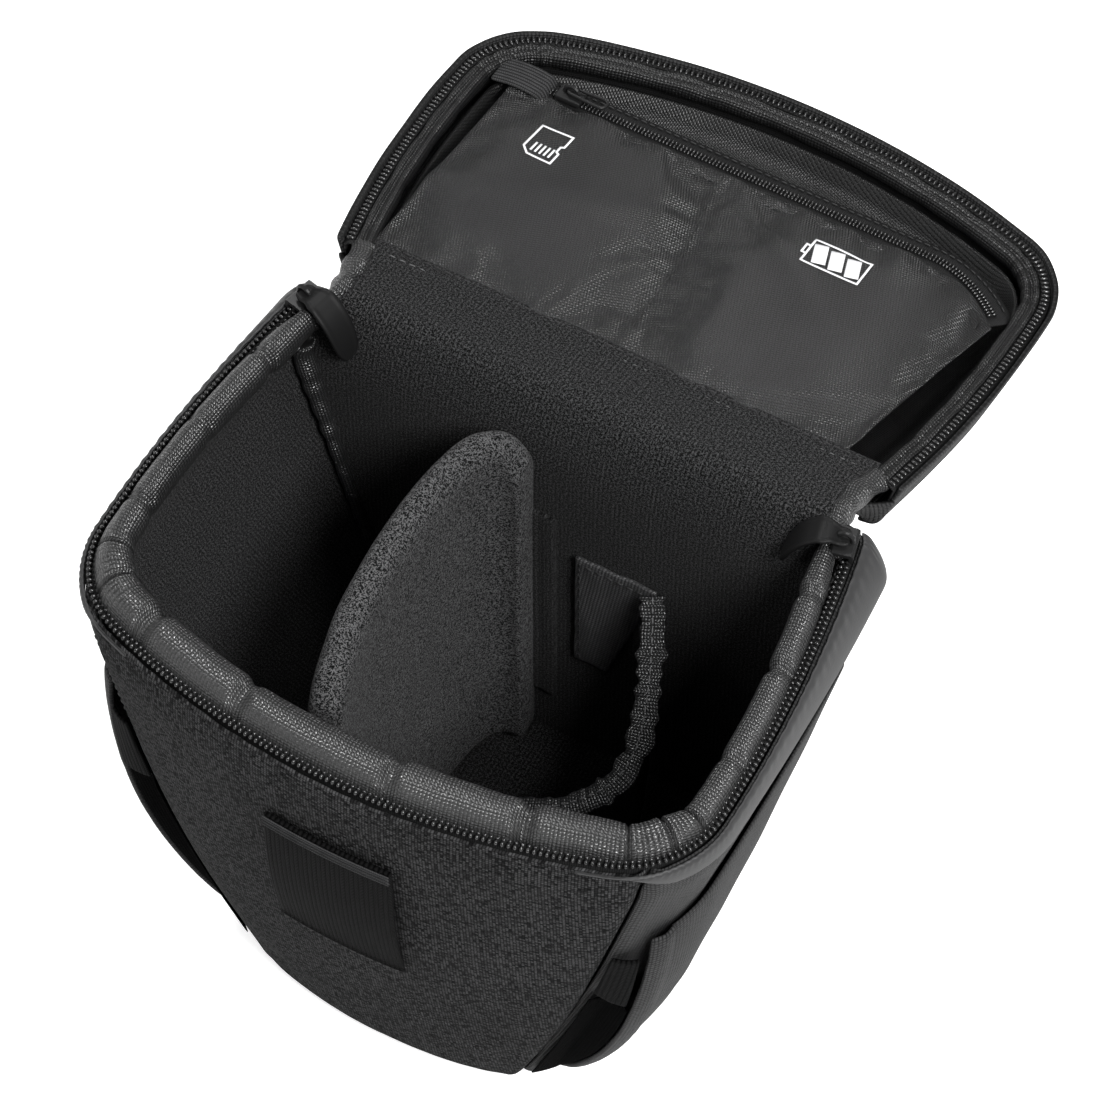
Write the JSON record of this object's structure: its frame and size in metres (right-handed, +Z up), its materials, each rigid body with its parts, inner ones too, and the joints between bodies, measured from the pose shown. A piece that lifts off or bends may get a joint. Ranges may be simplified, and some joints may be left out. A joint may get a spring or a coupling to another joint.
{
  "type": "camera bag",
  "caption": "Padded top-loading camera bag with a D-shaped mouth, a zipped lid laid open, lift-out dividers inside and slim side pockets.",
  "frame": {"origin": "centre of the base's depth on the middle line, on the underside of the base", "axes": "+Z up from the base to the mouth, -Y towards the front panel, +X to the right as seen from the front"},
  "size_m": [0.1884, 0.2673, 0.1717],
  "materials": {
    "melange_weave": "matt plain weave, fine black and dark grey yarns",
    "basket_weave": "matt coarse basket weave",
    "grey_trim": "smooth satin coated trim",
    "velour": "matt loop velour",
    "lining_nylon": "satin plain nylon",
    "binding_nylon": "glossy oxford nylon",
    "webbing": "ribbed webbing",
    "zip_tape": "matt woven tape",
    "zip_coil": "satin moulded coil",
    "black_metal": "gloss black",
    "pull_rubber": "satin moulded rubber",
    "foam": "open-cell foam"
  },
  "bodies": {
    "tub": {"front_panel": "melange_weave", "side_panel_right": "basket_weave", "side_panel_left": "basket_weave", "back_panel": "basket_weave", "base_panel": "basket_weave", "foam_wall": "foam", "foam_base": "foam", "foam_back": "foam", "lining_wall": "velour", "lining_back": "velour", "lining_base": "velour", "zip_tape_tub": "zip_tape", "zip_coil_tub": "zip_coil", "rim_binding": "binding_nylon", "corner_binding_right": "binding_nylon", "corner_binding_left": "binding_nylon", "shoulder_trim_right": "grey_trim", "shoulder_trim_left": "grey_trim", "front_patch": "webbing", "side_pocket_right": "basket_weave", "side_pocket_left": "basket_weave", "pocket_hem_right": "binding_nylon", "pocket_hem_left": "binding_nylon", "pocket_keeper_right": "webbing", "pocket_keeper_left": "webbing", "belt_loop": "webbing", "ring_tab_right": "webbing", "ring_tab_left": "webbing"},
    "lid": {"lid_band": "basket_weave", "lid_cover": "melange_weave", "lid_rear_panel": "basket_weave", "lid_foam": "foam", "lid_lining": "lining_nylon", "lid_side_lining": "lining_nylon", "lid_velour_flap": "velour", "lid_pocket_panel": "lining_nylon", "pocket_zip_tape": "zip_tape", "pocket_zip_chain": "zip_coil", "zip_tape_lid": "zip_tape", "zip_coil_lid": "zip_coil", "lid_binding": "binding_nylon", "zip_end_tab": "webbing", "carry_handle": "webbing"},
    "slider_right": {"zip_slider_right": "black_metal"},
    "slider_left": {"zip_slider_left": "black_metal"},
    "pull_right": {"zip_pull_right": "pull_rubber"},
    "pull_left": {"zip_pull_left": "pull_rubber"},
    "pocket_slider": {"pocket_slider": "black_metal"},
    "pocket_pull": {"pocket_pull": "black_metal"},
    "padded_divider": {"padded_divider": "velour", "divider_flange": "velour"},
    "soft_divider": {"soft_divider": "lining_nylon", "soft_divider_edge": "binding_nylon", "soft_divider_flange": "lining_nylon"},
    "ring_right": {"strap_ring_right": "black_metal"},
    "ring_left": {"strap_ring_left": "black_metal"}
  },
  "joints": [
    {"name": "lid_hinge", "type": "hinge", "parent": "tub", "child": "lid", "pos_m": [0, 0.0595, 0.166], "axis": [-1, 0, 0], "range_deg": [-190, 15]},
    {"name": "slider_right_run", "type": "hinge", "parent": "tub", "child": "slider_right", "pos_m": [-0.23766, -0.02589, 0.166], "axis": [0, 0, -1], "range_deg": [0, 13.5]},
    {"name": "slider_left_run", "type": "hinge", "parent": "tub", "child": "slider_left", "pos_m": [0.23766, -0.02589, 0.166], "axis": [0, 0, 1], "range_deg": [0, 13.5]},
    {"name": "pull_right_swing", "type": "hinge", "parent": "slider_right", "child": "pull_right", "pos_m": [0.08088, 0.0515, 0.1689], "axis": [-0.2361, 0.9717, 0], "range_deg": [-4, 165]},
    {"name": "pull_left_swing", "type": "hinge", "parent": "slider_left", "child": "pull_left", "pos_m": [-0.08088, 0.0515, 0.1689], "axis": [-0.2361, -0.9717, 0], "range_deg": [-4, 165]},
    {"name": "pocket_slider_run", "type": "slide", "parent": "lid", "child": "pocket_slider", "axis": [1, 0, 0], "range_m": [0, 0.105]},
    {"name": "pocket_pull_swing", "type": "hinge", "parent": "pocket_slider", "child": "pocket_pull", "pos_m": [-0.0586, 0.15949, 0.14857], "axis": [0, -0.9848, 0.1736], "range_deg": [0, 165]},
    {"name": "padded_divider_lift", "type": "slide", "parent": "tub", "child": "padded_divider", "axis": [0, 0, 1], "range_m": [0, 0.16]},
    {"name": "soft_divider_lift", "type": "slide", "parent": "tub", "child": "soft_divider", "axis": [0, 0, 1], "range_m": [0, 0.16]},
    {"name": "ring_right_swing", "type": "hinge", "parent": "tub", "child": "ring_right", "pos_m": [0.05417, 0.0632, 0.12], "axis": [1, 0, 0], "range_deg": [-5, 160]},
    {"name": "ring_left_swing", "type": "hinge", "parent": "tub", "child": "ring_left", "pos_m": [-0.05417, 0.0632, 0.12], "axis": [1, 0, 0], "range_deg": [-5, 160]}
  ]
}
